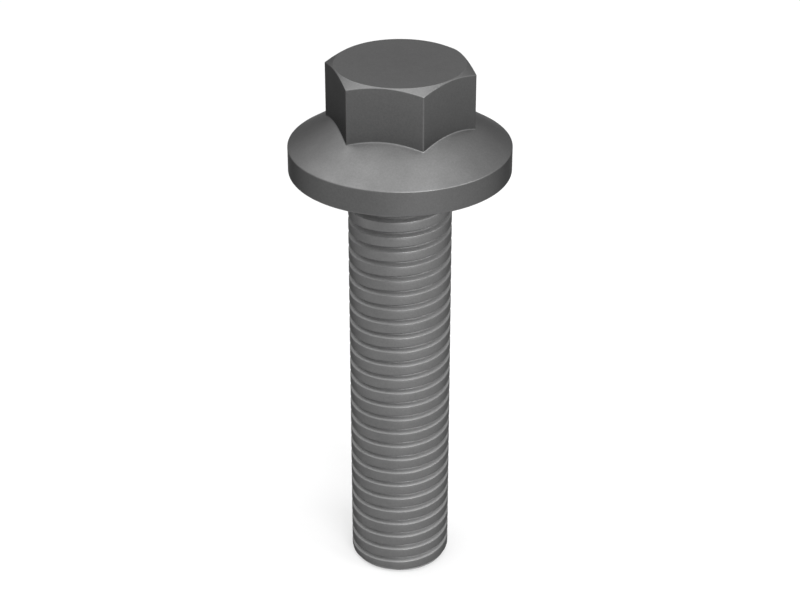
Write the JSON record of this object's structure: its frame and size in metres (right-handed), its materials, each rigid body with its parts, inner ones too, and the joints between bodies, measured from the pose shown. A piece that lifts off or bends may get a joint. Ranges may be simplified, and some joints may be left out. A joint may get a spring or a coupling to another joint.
{
  "type": "flange bolt",
  "caption": "Hexagon bolt with a sloped round flange under the head and a right-hand metric thread along its whole shank.",
  "frame": {"origin": "on the bolt's axis, in the bearing face under the flange", "axes": "+Z along the axis towards the top of the head, two flats of the hexagon facing -Y and +Y"},
  "size_m": [0.017, 0.017, 0.0435],
  "materials": {
    "steel": "cold-forged and thread-rolled steel, dark grey satin, lighter on the thread's crests"
  },
  "bodies": {
    "root": {"flange_bolt": "steel"}
  },
  "joints": []
}
